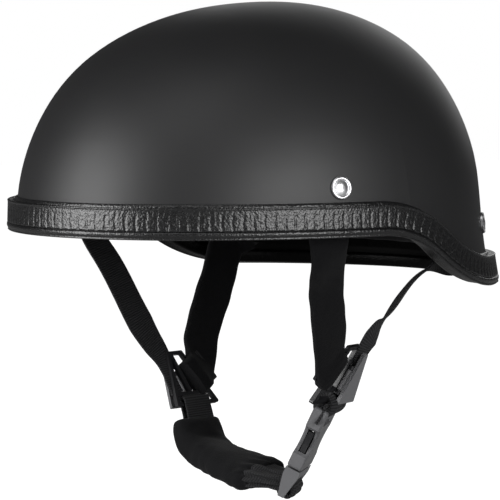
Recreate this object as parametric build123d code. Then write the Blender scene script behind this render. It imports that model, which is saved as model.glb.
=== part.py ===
"""Half shell motorcycle helmet with a riveted four-strap harness, two strap dividers,
a side-release buckle and a padded chin sleeve.

Frame: millimetres, +Z up, the helmet faces -Y, the wearer's left is +X. The origin is the
middle of the head opening, level with the shell's widest ring.
"""

from build123d import *

import math
import os
from typing import NamedTuple

os.makedirs("parts", exist_ok=True)

# Outer shell: half width, front and rear half lengths, and height above its widest ring
half_width = 114.0
front_reach = 148.0
rear_reach = 129.5
crown_height = 128.0
nose_down_degrees = 3.7
wall = 4.0

# The shell's upright section in shares of its half width and height, crown first, then
# shoulder, widest ring and the flared skirt below it
section_shares = [
    (0.0, 1.0),
    (0.383, 0.947),
    (0.701, 0.779),
    (0.899, 0.519),
    (0.981, 0.263),
    (1.0, 0.0),
    (1.027, -0.256),
    (1.048, -0.40),
]
skirt_slope_share = 0.125

# Rim seen from the side: level brim, sloping drop behind the temples, level neck guard
brim_level = 6.0
brim_corner_y = -3.0
drop_degrees = 32.6
neck_corner_y = 47.0
neck_fall_degrees = 1.2
brim_corner_radius = 74.0
neck_corner_radius = 108.0
overrun = 60.0

# Edge trim: a U-channel over the shell's cut edge
trim_proud = 4.0
trim_height = 16.6
trim_inner_leg = 2.8
trim_inner_height = 9.5
trim_floor = 3.0
trim_clearance = 0.15

# Impact liner and comfort pads
seat_gap = 0.3
liner_thickness = 21.0
liner_edge_lift = 13.0
channel_width = 29.0
channel_height = 10.6
channel_legs = 5
pad_thickness = 8.0
crown_pad_radius = 46.0
band_pad_low = 17.0
band_pad_high = 50.0
brow_pad_degrees = 76.0
side_pad_degrees = 64.0
nape_pad_degrees = 62.0

# Strap rivets: a domed cap outside, a post through shell and webbing, a clenched foot
cap_radius = 6.0
cap_rim = 1.2
cap_ring_rise = 0.5
cap_dome = 1.0
cap_dome_radius = 4.0
cap_gap = 0.1
post_radius = 2.4
post_hole_radius = 2.6
foot_radius = 4.0
foot_height = 1.0
washer_radius = 6.5
washer_thickness = 1.0
washer_gap = 0.05
front_rivet_y = -46.0
front_rivet_z = 30.5
rear_rivet_y = 86.0
rear_rivet_z = 6.0

# Webbing, its plush sleeves, and the loop that it makes round a bar
webbing_width = 20.0
webbing_thickness = 1.6
wall_seat = 1.1
trim_seat = 0.8
sleeve_width = 22.8
sleeve_thickness = 4.4
sleeve_corner = 1.6
sleeve_clearance = 0.35
loop_gap = 0.3
loop_corner = 0.9
loop_reach = 5.6
neck_reach = 4.4
band_step = 5.0

# The straps' ways down the inside of the wall: how far a riveted tab runs on each side of its
# rivet and which way it heads, then the places (y, z) passed on the way to the rim
tab_reach = 9.0
tab_headings = {"front": (0.0, 0.0, 1.0), "rear": (-0.63, 0.62, 0.48)}
wall_places = {"front": [(-46.0, 16.5), (-46.0, 5.5)], "rear": [(68.5, -6.5), (61.0, -10.5)]}
wall_sides = {"left": 1, "right": -1}

# The straps' free runs from the helmet to the dividers, as middle points; the two straps in
# plush sleeves loop round the dividers' slanted bars, the other two tuck under the flaps
strap_runs = {
    ("left", "front"): [(86.0, -35.5, -17.5), (77.4, -26.3, -35.6), (69.8, -17.0, -53.5)],
    ("left", "rear"): [(83.6, 42.3, -18.0), (74.5, 32.5, -32.0), (66.9, 24.5, -47.5)],
    ("right", "front"): [(-89.0, -40.5, -16.0), (-79.5, -33.5, -37.5), (-72.8, -28.2, -54.0)],
    ("right", "rear"): [(-86.3, 46.3, -25.3), (-77.0, 28.5, -48.0), (-68.6, 14.0, -68.0)],
}
looped_straps = (("left", "front"), ("right", "rear"))
edge_on_facing = (0.70, 0.70, -0.14)

# The tucked ends: their height over a divider's middle, then their places in shares of its
# half width and half height, with the share of the webbing's width that shows there
tucked_height = 2.6
tucked_run_shares = [
    (-1.138, -1.242, 0.8),
    (-0.938, -0.758, 0.62),
    (-0.869, -0.242, 0.42),
    (-0.719, 0.485, 0.44),
]

# Strap dividers: a straight bar behind, a slanted bar in front, a rib and two slots between
divider_bottom_width = 32.0
divider_top_width = 11.0
divider_height = 33.0
divider_thickness = 2.6
divider_bar = 2.2
divider_corner = 1.2
divider_back_lean = 3.0
rib_top = -11.2
rib_bottom = -0.8
bottom_slot = 4.0
slanted_loop_rise = 2.6
bottom_loop_middle = -6.9
bottom_loop_share = 0.65

# Divider flap: a plate over the rib side, turning on a barrel between two lugs
flap_thickness = 2.0
flap_lift = 4.9
flap_top = -14.0
flap_bottom = 15.5
flap_margin = 0.6
flap_overhang = 0.6
flap_corner = 0.8
flap_barrel_radius = 1.5
flap_barrel_length = 12.0
flap_barrel_middle = 3.0
flap_web = 2.2
flap_pin_radius = 0.7
flap_pin_fit = 0.08
flap_lug_length = 2.4
hinge_height = 3.1

# Where each divider hangs: its place, its turn about the upright and its lean inward
left_divider_place = (59.5, -1.6, -73.0)
left_divider_turn = 9.0
right_divider_place = (-59.0, -2.5, -86.5)
right_divider_turn = 0.0
divider_lean = 23.6

# Side-release buckle, for the webbing's width
buckle_place = (53.0, -2.7, -91.5)
buckle_turn = 33.0
buckle_lean = 25.4
buckle_width = 27.0
buckle_thickness = 8.6
buckle_corner = 2.0
buckle_edge = 0.9
socket_length = 36.0
socket_bar = 3.0
socket_bar_thickness = 3.4
socket_opening_width = 21.0
socket_opening_length = 5.6
cavity_width = 23.4
cavity_length = 25.0
cavity_height = 4.4
notch_radius = 9.5
notch_depth = 4.6
notch_middle = 19.5
running_gap = 0.3
plug_seam = 0.4
plug_base_length = 16.6
plug_collar = 4.0
plug_opening = 6.0
plug_bar = 3.0
plug_end_thickness = 3.4
tongue_width = 5.0
tongue_length = 15.0
tongue_thickness = 3.4

# Springy prongs of the plug: a round root in the collar, an arm and a barbed head
prong_root_radius = 1.5
prong_root_fit = 0.08
prong_root_x = 8.7
prong_root_y = 35.9
prong_thickness = 3.2
prong_edge = 0.5

# The arm's outline in shares of the cavity's half width and the socket's length
prong_outline_shares = [
    (0.855, 0.967),
    (0.812, 0.767),
    (0.949, 0.728),
    (0.949, 0.597),
    (0.897, 0.472),
    (0.812, 0.389),
    (0.692, 0.389),
    (0.590, 0.486),
    (0.590, 0.722),
    (0.632, 0.967),
]

# Chin pad: a padded sleeve on the chin webbing, as middle points, facings, and the shares
# of its full width and thickness at each
pad_width = 37.0
pad_height = 12.5
pad_corner = 4.6
pad_run = [
    ((-49.8, -6.8, -107.8), (-0.917, 0, -0.40), (0.94, 0.76)),
    ((-48.0, -7.0, -113.5), (-0.88, 0, -0.47), (1.0, 0.95)),
    ((-44.0, -7.6, -121.0), (-0.70, 0, -0.71), (1.0, 1.0)),
    ((-35.0, -8.9, -126.2), (-0.35, 0, -0.94), (1.0, 1.0)),
    ((-20.0, -11.0, -129.0), (-0.10, 0, -1), (1.0, 1.0)),
    ((-5.0, -13.2, -130.4), (0, 0, -1), (1.0, 1.0)),
    ((9.5, -15.5, -131.3), (0.1, 0, -1), (0.92, 1.0)),
    ((19.5, -17.0, -131.4), (0.2, 0, -1), (0.70, 0.74)),
]
stub_length = 7.0
overcut = 2.0


def dome(inset):
    """The shell's solid form with every half size smaller by the inset."""
    ring = half_width - inset
    height = crown_height - inset
    points = [(ring * across, height * up) for across, up in section_shares]
    curve = Spline(points, tangents=[(1, 0), (skirt_slope_share, -1)])
    outline = curve + Polyline(points[-1], (0, points[-1][1]), points[0])
    turned = revolve(Plane.XZ * make_face(outline), Axis.Z)
    block = 4 * half_width
    rear_side = Pos(0, block / 2, 0) * Box(block, block, block)
    front = scale(turned - rear_side, by=(1, (front_reach - inset) / ring, 1))
    rear = scale(turned & rear_side, by=(1, (rear_reach - inset) / ring, 1))
    return Rot(nose_down_degrees, 0, 0) * (front + rear)


def rim_path(lift):
    """The rim line seen from the side, moved square to itself by the lift."""
    drop = math.radians(drop_degrees)
    fall = math.radians(neck_fall_degrees)
    neck_level = brim_level - (neck_corner_y - brim_corner_y) * math.tan(drop)

    def moved(corner, before, after):
        share = lift / (1 + math.cos(before - after))
        across = (math.sin(before) + math.sin(after)) * share
        up = (math.cos(before) + math.cos(after)) * share
        return (corner[0] + across, corner[1] + up)

    brim = moved((brim_corner_y, brim_level), 0, drop)
    neck = moved((neck_corner_y, neck_level), drop, fall)
    front = (-front_reach - overrun, brim[1])
    rear_y = rear_reach + overrun
    rear = (rear_y, neck[1] - (rear_y - neck[0]) * math.tan(fall))
    radii = [brim_corner_radius + lift, neck_corner_radius - lift]
    return FilletPolyline(front, brim, neck, rear, radius=radii), front, rear


def above_rim(lift):
    """Everything above the rim line raised by the lift."""
    path, front, rear = rim_path(lift)
    top = crown_height + overrun
    outline = path + Polyline(rear, (rear[0], top), (front[0], top), front)
    return extrude(Plane.YZ * make_face(outline), half_width + overrun, both=True)


def on_wall(side, y, z, inset):
    """The place and outward direction on the shell's form shrunk by the inset."""
    ray = Axis((0, y, z), (side, 0, 0))
    hits = dome(inset).find_intersection_points(ray)
    return max(hits, key=lambda hit: side * hit[0].X)


def rivet_planes():
    """Planes on the shell's outer face, z outward, for the four strap rivets by name."""
    places = {"front": (front_rivet_y, front_rivet_z), "rear": (rear_rivet_y, rear_rivet_z)}
    planes = {}
    for end, (y, z) in places.items():
        for name, side in (("left", 1), ("right", -1)):
            place, outward = on_wall(side, y, z, 0)
            planes[end, name] = Plane(origin=place, x_dir=(0, 0, 1), z_dir=outward)
    return planes


def hanging_plane(place, side, turn, lean):
    """x towards the slanted side, y down the strap, z outward from the face."""
    turn = math.radians(turn)
    lean = math.radians(lean)
    across = Vector(math.sin(turn), -math.cos(turn), 0) * side
    outward = Vector(math.cos(turn), math.sin(turn), 0) * side
    face = outward * math.cos(lean) - Vector(0, 0, 1) * math.sin(lean)
    return Plane(origin=place, x_dir=across, z_dir=face)


rivets = rivet_planes()
dividers = {
    "left": hanging_plane(left_divider_place, 1, left_divider_turn, divider_lean),
    "right": hanging_plane(right_divider_place, -1, right_divider_turn, divider_lean),
}
buckle = hanging_plane(buckle_place, 1, buckle_turn, buckle_lean)

# Divider outline in its own plane: top and bottom corners at the back and the slanted side
back_top = Vector(divider_back_lean - divider_bottom_width / 2, -divider_height / 2)
slant_top = back_top + Vector(divider_top_width, 0)
slant_bottom = Vector(divider_bottom_width / 2, divider_height / 2)
back_bottom = Vector(-divider_bottom_width / 2, divider_height / 2)
crossbar_y = divider_height / 2 - divider_bar - bottom_slot - divider_bar / 2
rib_along = Vector(rib_bottom - rib_top, divider_height).normalized()
rib_middle = Vector((rib_top + rib_bottom) / 2, 0)
rib_plane = Plane(origin=(rib_middle.X, rib_middle.Y, 0), x_dir=rib_along, z_dir=(0, 0, 1))
on_floor = (Align.CENTER, Align.CENTER, Align.MIN)


class Stop(NamedTuple):
    """A place that a strap passes, the way it faces there and its size there as shares."""

    middle: tuple
    facing: tuple
    shares: tuple = (1, 1)


class Section(NamedTuple):
    """One section of a strap: its plane, its size as shares and the leg that it belongs to."""

    plane: Plane
    wide: float
    high: float
    leg: int


class Bar(NamedTuple):
    """The part of a bar that webbing goes round, in the helmet's frame."""

    middle: Vector
    outward: Vector
    along: Vector
    width: float
    height: float
    share: float = 1


def sections_along(stops, last_across=None):
    """Evenly spaced sections of a strap's smooth way through its stops.

    With last_across, the strap's end is slanted to lie along that direction."""
    points = [Vector(stop.middle) for stop in stops]
    path = Spline(points)
    places = [path.param_at_point(point) for point in points]
    sections = []
    for leg, (stop, following) in enumerate(zip(stops, stops[1:])):
        stretch = places[leg + 1] - places[leg]
        steps = math.ceil(stretch * path.length / band_step)
        last = leg == len(stops) - 2
        for step in range(steps + last):
            share = step / steps
            place = places[leg] + stretch * share
            along = path.tangent_at(place)
            facing = Vector(stop.facing) * (1 - share) + Vector(following.facing) * share
            across = along.cross(facing).normalized()
            if last and last_across:
                target = last_across * (1 if across.dot(last_across) > 0 else -1)
                across = across * (1 - share) + target * share
                along = facing.cross(across)
            plane = Plane(path.position_at(place), x_dir=across, z_dir=along)
            shares = [a * (1 - share) + b * share for a, b in zip(stop.shares, following.shares)]
            sections.append(Section(plane, *shares, leg))
    return sections


def band(sections, width, thickness, corner=0.0):
    """A flat strap through its sections."""
    faces = []
    for section in sections:
        size = (width * section.wide, thickness * section.high)
        outline = RectangleRounded(*size, corner) if corner else Rectangle(*size)
        faces.append(section.plane * outline)
    return loft(faces, ruled=True)


def placed(plane, x, y, z=0.0):
    """A point of a plane's own frame, in the helmet's."""
    return plane.from_local_coords(Vector(x, y, z))


def aimed(plane, x, y, z=0.0):
    """A direction of a plane's own frame, in the helmet's."""
    return (placed(plane, x, y, z) - plane.origin).normalized()


def slanted_bar(name):
    """The middle of a divider's slanted bar."""
    along = (slant_bottom - slant_top).normalized()
    inward = Vector(-along.Y, along.X)
    middle = (slant_top + slant_bottom) / 2 + inward * (divider_bar / 2) - along * slanted_loop_rise
    plane = dividers[name]
    place = placed(plane, middle.X, middle.Y)
    outward = aimed(plane, -inward.X, -inward.Y)
    return Bar(place, outward, aimed(plane, along.X, along.Y), divider_bar, divider_thickness)


def bottom_bar(name):
    """The bottom bar of a divider."""
    plane = dividers[name]
    middle = placed(plane, bottom_loop_middle, (divider_height - divider_bar) / 2)
    return Bar(middle, plane.y_dir, plane.x_dir, divider_bar, divider_thickness, bottom_loop_share)


def bar_loop(bar):
    """Webbing folded round a bar and sewn to itself, a teardrop seen along the bar."""
    inner = (bar.width + 2 * loop_gap, bar.height + 2 * loop_gap)
    outer = [side + 2 * webbing_thickness for side in inner]
    corner = loop_corner + webbing_thickness
    neck = Pos(loop_reach, 0) * Circle(webbing_thickness / 2)
    outside = make_hull(RectangleRounded(*outer, corner).edges() + neck.edges())
    outline = outside - RectangleRounded(*inner, loop_corner)
    plane = Plane(origin=bar.middle, x_dir=bar.outward, z_dir=bar.along)
    return extrude(plane * outline, bar.share * webbing_width / 2, both=True)


def tab_sections(name, end):
    """The two ends of the flat tab that a strap's rivet goes through."""
    plane = rivets[end, name]
    outward = plane.z_dir
    heading = Vector(*tab_headings[end])
    heading.X *= wall_sides[name]
    heading = (heading - outward * heading.dot(outward)).normalized()
    middle = plane.origin - outward * (wall + wall_seat + webbing_thickness / 2)
    across = outward.cross(heading)
    ends = [middle + heading * reach for reach in (tab_reach, -tab_reach)]
    return [Section(Plane(place, x_dir=across, z_dir=-heading), 1, 1, 0) for place in ends]


def strap_sections(name, end):
    """A strap's whole way from its rivet to its divider, as sections."""
    facing = dividers[name].z_dir
    tab, below = tab_sections(name, end)
    inset = wall + trim_inner_leg + sleeve_thickness / 2 + trim_seat
    stops = [Stop(below.plane.origin, rivets[end, name].z_dir)]
    stops += [Stop(*on_wall(wall_sides[name], y, z, inset)) for y, z in wall_places[end]]
    start = Vector(stops[-1].facing)
    run = strap_runs[name, end]
    for index, point in enumerate(run):
        share = (index + 1) / (len(run) + 1)
        stops.append(Stop(point, start * (1 - share) + facing * share))
    if (name, end) in looped_straps:
        bar = slanted_bar(name)
        stops.append(Stop(bar.middle + bar.outward * neck_reach, facing))
        return [tab, below] + sections_along(stops, bar.along)[1:]
    if name == "left":
        stops[-2:] = [Stop(point, edge_on_facing) for point in run[-2:]]
    for x, y, share in tucked_run_shares:
        place = (x * divider_bottom_width / 2, y * divider_height / 2, tucked_height)
        stops.append(Stop(placed(dividers[name], *place), facing, (share, 1)))
    return [tab, below] + sections_along(stops)[1:]


def strap(name, end):
    """A riveted strap, looped round the divider's slanted bar or tucked under its flap."""
    body = band(strap_sections(name, end), webbing_width, webbing_thickness)
    if (name, end) in looped_straps:
        body += bar_loop(slanted_bar(name))
    return body - rivets[end, name] * Cylinder(post_hole_radius, 4 * wall)


def sleeve(name, end):
    """The plush sleeve on a strap, from inside the helmet to its divider."""
    sections = strap_sections(name, end)
    grown = 2 * sleeve_clearance
    core = band(sections, webbing_width + grown, webbing_thickness + grown)
    covered = [section for section in sections if section.leg > 0][:-1]
    return band(covered, sleeve_width, sleeve_thickness, sleeve_corner) - core


def outer_shell():
    """The moulded shell, drilled for the strap rivets."""
    shell = (dome(0) - dome(wall)) & above_rim(trim_floor)
    for plane in rivets.values():
        shell -= plane * Cylinder(post_hole_radius, 4 * wall)
    return shell


def edge_trim():
    """The U-channel that covers the shell's cut edge."""
    body = dome(-trim_proud) - dome(wall + trim_inner_leg)
    body = body & (above_rim(0) - above_rim(trim_height))
    body -= dome(wall + trim_clearance) & above_rim(trim_inner_height)
    slot = dome(-trim_clearance) - dome(wall + trim_clearance)
    return body - (slot & above_rim(trim_floor - trim_clearance))


def impact_liner():
    """The foam liner, with a channel behind each riveted strap."""
    outer = wall + seat_gap
    liner = (dome(outer) - dome(outer + liner_thickness)) & above_rim(liner_edge_lift)
    for end, name in rivets:
        tab, below, *rest = strap_sections(name, end)
        start = tab._replace(plane=tab.plane.offset(-tab_reach))
        firsts = {section.leg: section for section in reversed(rest) if section.leg > 0}
        sections = [start, below] + [firsts[leg] for leg in range(1, channel_legs)]
        liner -= band(sections, channel_width, channel_height)
    return liner


def sector(middle_degrees, spread_degrees):
    """An upright wedge about the Z axis, as seen in plan."""
    reach = 2 * (front_reach + overrun)
    edges = [math.radians(middle_degrees + sign * spread_degrees / 2) for sign in (-1, 1)]
    corners = [(reach * math.cos(angle), reach * math.sin(angle)) for angle in edges]
    outline = make_face(Polyline((0, 0), *corners, close=True))
    return extrude(outline, crown_height + overrun, both=True)


def comfort_pads():
    """Crown, brow, side and nape pads, cut from one padded layer inside the liner."""
    outer = wall + seat_gap + liner_thickness + seat_gap
    layer = dome(outer) - dome(outer + pad_thickness)
    ring = layer & (above_rim(band_pad_low) - above_rim(band_pad_high))
    tall = Cylinder(crown_pad_radius, crown_height, align=on_floor)
    return {
        "crown_pad": layer & (Rot(nose_down_degrees, 0, 0) * tall),
        "brow_pad": ring & sector(-90, brow_pad_degrees),
        "side_pad_left": ring & sector(0, side_pad_degrees),
        "side_pad_right": ring & sector(180, side_pad_degrees),
        "nape_pad": ring & sector(90, nape_pad_degrees),
    }


def strap_rivets():
    """Four domed rivets, each a cap, a post and a clenched foot."""
    seat = wall + wall_seat + webbing_thickness + washer_thickness + 2 * washer_gap
    foot = -seat - foot_height
    side = Polyline((0, foot), (foot_radius, foot), (foot_radius, -seat), (post_radius, -seat),
                    (post_radius, cap_gap), (cap_radius, cap_gap), (cap_radius, cap_rim))
    ring_top = ((cap_radius + cap_dome_radius) / 2, cap_rim + cap_ring_rise)
    ring = ThreePointArc((cap_radius, cap_rim), ring_top, (cap_dome_radius, cap_rim))
    crown = (0, cap_rim + cap_dome)
    top = RadiusArc((cap_dome_radius, cap_rim), crown,
                    -(cap_dome_radius**2 + cap_dome**2) / (2 * cap_dome))
    outline = side + ring + top + Line(crown, (0, foot))
    rivet = revolve(Plane.XZ * make_face(outline), Axis.Z)
    return Compound([plane * rivet for plane in rivets.values()])


def rivet_washers():
    """A washer on the inner face of each riveted strap."""
    seat = wall + wall_seat + webbing_thickness + washer_gap
    ring = Circle(washer_radius) - Circle(post_hole_radius)
    washer = Pos(0, 0, -seat) * extrude(ring, -washer_thickness)
    return Compound([plane * washer for plane in rivets.values()])


def divider_frame():
    """The flat frame that joins two straps to the chin webbing, drawn in its own plane."""
    outline = make_face(Polyline(back_top, slant_top, slant_bottom, back_bottom, close=True))
    plate = fillet(outline.vertices(), divider_corner)
    window = offset(outline, -divider_bar)
    above = Pos(0, crossbar_y - divider_height) * Rectangle(2 * divider_height, 2 * divider_height)
    rib = rib_plane * Rectangle(2 * divider_height, divider_bar) & above
    crossbar = Pos(0, crossbar_y) * Rectangle(2 * divider_bottom_width, divider_bar)
    frame = extrude(plate - (window - rib - crossbar), divider_thickness / 2, both=True)
    floor = divider_thickness / 2
    lug = Box(flap_lug_length, divider_bar, hinge_height - floor, align=on_floor)
    knuckle = Rot(0, 90, 0) * Cylinder(flap_barrel_radius, flap_lug_length)
    lug += Pos(0, 0, hinge_height - floor) * knuckle
    reach = (flap_barrel_length + flap_lug_length) / 2 + running_gap
    for end in (-1, 1):
        frame += rib_plane * Pos(flap_barrel_middle + end * reach, 0, floor) * lug
    pin_room = hinge_rod(flap_pin_radius + flap_pin_fit, 2 * divider_height)
    return frame - pin_room


def hinge_rod(radius, length):
    """A rod along the flap's hinge."""
    return rib_plane * Pos(flap_barrel_middle, 0, hinge_height) * Rot(0, 90, 0) * Cylinder(radius, length)


def rib_x(y):
    """How far along x the rib's middle line is at y."""
    return rib_middle.X + y * rib_along.X / rib_along.Y


def straight_x(y):
    """How far along x the straight bar's outer edge is at y."""
    return back_top.X + (y - back_top.Y) * (back_bottom.X - back_top.X) / divider_height


def divider_flap():
    """The plate that closes over the rib side of a divider, with its barrel and pins."""
    corners = [(straight_x(y) + flap_margin, y) for y in (flap_bottom, flap_top)]
    corners += [(rib_x(y) + flap_overhang, y) for y in (flap_top, flap_bottom)]
    outline = make_face(Polyline(*corners, close=True))
    plate = Pos(0, 0, flap_lift) * extrude(fillet(outline.vertices(), flap_corner), flap_thickness)
    web_height = flap_lift - hinge_height + flap_thickness / 2
    web = Box(flap_barrel_length, flap_web, web_height, align=on_floor)
    web = rib_plane * Pos(flap_barrel_middle, 0, hinge_height) * web
    pins = hinge_rod(flap_pin_radius, flap_barrel_length + 2 * (running_gap + flap_lug_length))
    return plate + web + hinge_rod(flap_barrel_radius, flap_barrel_length) + pins


def socket_bar_place():
    """The socket's top bar."""
    return Bar(placed(buckle, 0, socket_bar / 2), -buckle.y_dir, buckle.x_dir,
               socket_bar, socket_bar_thickness)


def buckle_socket():
    """The buckle's socket: a flat case with finger notches, a cavity and a webbing bar."""
    outline = fillet(Rectangle(buckle_width, socket_length).vertices(), buckle_corner)
    notch_x = buckle_width / 2 - notch_depth + notch_radius
    outline = Pos(0, socket_length / 2) * outline
    for side in (-1, 1):
        outline -= Pos(side * notch_x, notch_middle) * Circle(notch_radius)
    case = extrude(outline, buckle_thickness / 2, both=True)
    case = chamfer(case.faces().filter_by(Axis.Z).edges(), buckle_edge)
    opening_y = socket_bar + socket_opening_length / 2
    case -= Pos(0, opening_y) * Box(socket_opening_width, socket_opening_length, 2 * buckle_thickness)
    for side in (-1, 1):
        relief_z = side * (socket_bar_thickness + buckle_thickness) / 2
        relief = Box(socket_opening_width, 2 * socket_bar, buckle_thickness)
        case -= Pos(0, socket_bar / 2, relief_z) * relief
    cavity_y = socket_length - cavity_length / 2 + overcut / 2
    cavity = Pos(0, cavity_y) * Box(cavity_width, cavity_length + overcut, cavity_height)
    return buckle * (case - cavity)


def plug_bar_middle():
    """How far down the buckle the middle of the plug's webbing bar is."""
    return socket_length + plug_seam + plug_collar + plug_opening + plug_bar / 2


def buckle_plug():
    """The buckle's plug: collar, pointed side walls, webbing bar and tongue."""
    top = socket_length + plug_seam
    collar = top + plug_collar
    end = top + plug_base_length
    deep = buckle_thickness / 2
    shallow = plug_end_thickness / 2
    profile = Polyline((top, -deep), (top, deep), (collar, deep), (end, shallow), (end, -shallow),
                       (collar, -deep), close=True)
    body = extrude(Plane.YZ * make_face(profile), buckle_width / 2, both=True)
    room = Box(socket_opening_width, 2 * plug_base_length, 2 * buckle_thickness)
    body -= Pos(0, collar + plug_base_length) * room
    bar = Box(socket_opening_width + 2 * plug_seam, plug_bar, plug_bar)
    body += Pos(0, plug_bar_middle()) * bar
    tongue = Box(tongue_width, tongue_length + plug_collar, tongue_thickness)
    body += Pos(0, collar - (tongue_length + plug_collar) / 2 - plug_seam) * tongue
    pocket_height = prong_thickness + 2 * prong_root_fit
    for side in (-1, 1):
        pocket = Cylinder(prong_root_radius + prong_root_fit, pocket_height)
        body -= Pos(side * prong_root_x, prong_root_y) * pocket
    return buckle * body


def prong(side):
    """One springy arm of the plug, on the slanted (1) or the straight (-1) side."""
    corners = [(x * cavity_width / 2, y * socket_length) for x, y in prong_outline_shares]
    outline = make_face(Polyline(*corners, close=True))
    outline = fillet(outline.vertices(), prong_edge)
    outline += Pos(prong_root_x, prong_root_y) * Circle(prong_root_radius)
    arm = extrude(outline, prong_thickness / 2, both=True)
    return buckle * (arm if side == 1 else mirror(arm, Plane.YZ))


def plug_loop():
    """The chin webbing's loop round the plug's bar, with the stub that leads to the pad."""
    bar = Bar(placed(buckle, 0, plug_bar_middle()), -buckle.z_dir, buckle.x_dir, plug_bar, plug_bar)
    stub = Box(webbing_width, webbing_thickness, stub_length - neck_reach)
    middle = bar.middle + bar.outward * (stub_length + neck_reach) / 2
    return bar_loop(bar) + Plane(origin=middle, x_dir=bar.along, z_dir=bar.outward) * stub


def buckle_strap():
    """The bunched webbing that ties the buckle's socket to the left divider."""
    bars = [bottom_bar("left"), socket_bar_place()]
    sections = []
    body = Part()
    holes = Part()
    for bar in bars:
        inner = (bar.width + 2 * loop_gap, bar.height + 2 * loop_gap)
        outer = [side + 2 * webbing_thickness for side in inner]
        plane = Plane(origin=bar.middle, x_dir=bar.outward, z_dir=bar.along)
        ring = plane * RectangleRounded(*outer, loop_corner + webbing_thickness)
        body += extrude(ring, bar.share * webbing_width / 2, both=True)
        holes += extrude(plane * RectangleRounded(*inner, loop_corner), webbing_width, both=True)
        face = Plane(origin=bar.middle + bar.outward * inner[0] / 2, x_dir=bar.along,
                     z_dir=bar.outward)
        sections.append(face * Rectangle(bar.share * webbing_width, inner[1] + webbing_thickness))
    lower = sections[1].faces()[0]
    return body + loft([sections[0].faces()[0], lower], ruled=True) - holes


def chin_stops():
    """The chin webbing's way, from the right divider through the pad."""
    bar = bottom_bar("right")
    start = Stop(bar.middle + bar.outward * neck_reach, dividers["right"].z_dir, (bar.share, 1))
    return [start] + [Stop(middle, way) for middle, way, shares in pad_run[1:]]


def chin_strap():
    """The chin webbing, looped round the right divider's bottom bar."""
    body = band(sections_along(chin_stops()), webbing_width, webbing_thickness)
    return body + bar_loop(bottom_bar("right"))


def chin_pad():
    """The padded sleeve that the chin webbing runs through."""
    grown = 2 * sleeve_clearance
    core = band(sections_along(chin_stops()), webbing_width + grown, webbing_thickness + grown)
    stops = [Stop(*row) for row in pad_run]
    return band(sections_along(stops), pad_width, pad_height, pad_corner) - core


def write(node, solid):
    """Write one node and print its volume and number of solids."""
    export_step(solid, f"parts/{node}.step")
    print(node, round(solid.volume), len(solid.solids()))


if __name__ == "__main__":
    write("outer_shell", outer_shell())
    write("edge_trim", edge_trim())
    write("impact_liner", impact_liner())
    for node, pad in comfort_pads().items():
        write(node, pad)
    write("strap_rivets", strap_rivets())
    write("rivet_washers", rivet_washers())
    for end, name in rivets:
        write(f"{end}_strap_{name}", strap(name, end))
    write("sleeve_left", sleeve("left", "front"))
    write("sleeve_right", sleeve("right", "rear"))
    for name, plane in dividers.items():
        write(f"divider_{name}", plane * divider_frame())
        write(f"flap_{name}", plane * divider_flap())
    write("buckle_strap", buckle_strap())
    write("buckle_socket", buckle_socket())
    write("buckle_plug", buckle_plug())
    write("prong_front", prong(1))
    write("prong_rear", prong(-1))
    write("plug_loop", plug_loop())
    write("chin_strap", chin_strap())
    write("chin_pad", chin_pad())
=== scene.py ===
"""Looks of a half shell motorcycle helmet with its strap harness, in metres.

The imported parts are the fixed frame. This script gives them their finishes, makes the edge
trim, webbing, sleeves and pads in their place, and sets up the studio.
"""

import logging
import math
from dataclasses import dataclass
from enum import Enum

import bpy
import numpy as np
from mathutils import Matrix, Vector
from mathutils.bvhtree import BVHTree


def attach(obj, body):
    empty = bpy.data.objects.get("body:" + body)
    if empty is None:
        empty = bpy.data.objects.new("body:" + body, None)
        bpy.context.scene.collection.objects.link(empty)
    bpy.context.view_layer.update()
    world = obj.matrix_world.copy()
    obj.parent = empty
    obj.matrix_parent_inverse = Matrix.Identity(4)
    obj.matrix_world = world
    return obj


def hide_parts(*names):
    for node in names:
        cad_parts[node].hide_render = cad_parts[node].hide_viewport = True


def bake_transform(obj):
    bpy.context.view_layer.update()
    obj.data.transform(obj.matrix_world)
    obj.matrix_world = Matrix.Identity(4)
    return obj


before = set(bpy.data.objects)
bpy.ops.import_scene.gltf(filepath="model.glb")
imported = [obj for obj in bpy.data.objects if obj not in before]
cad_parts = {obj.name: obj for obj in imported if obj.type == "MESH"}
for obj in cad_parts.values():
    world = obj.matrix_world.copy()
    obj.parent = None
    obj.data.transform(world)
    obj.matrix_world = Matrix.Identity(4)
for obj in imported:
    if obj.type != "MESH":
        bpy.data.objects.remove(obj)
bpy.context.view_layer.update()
log = logging.getLogger("helmet")

Node = bpy.types.Node
Socket = bpy.types.NodeSocket
Tree = bpy.types.NodeTree
Object = bpy.types.Object
Place = tuple[float, float, float]

# Points of a seam that are nearer to each other than this are one.
WELD = 1e-7
# From one section to the next where a strap bends sharply.
FINE_STEP = 0.0006


class Side(Enum):
    """The wearer's sides, as the sign of X."""

    LEFT = 1
    RIGHT = -1

    @property
    def word(self) -> str:
        """The side's name in node names."""
        return self.name.lower()


class End(Enum):
    """Which of a side's two straps one is, as in node names."""

    FRONT = "front"
    REAR = "rear"


def linear(colour: str) -> tuple[float, float, float, float]:
    """Turn an sRGB hex colour to linear RGBA.

    Args:
        colour: six hex digits after a hash sign.

    Returns:
        Red, green, blue and an alpha of 1.
    """
    values = [int(colour[start : start + 2], 16) / 255 for start in (1, 3, 5)]
    red, green, blue = (v / 12.92 if v <= 0.04045 else ((v + 0.055) / 1.055) ** 2.4 for v in values)
    return (red, green, blue, 1.0)


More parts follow.
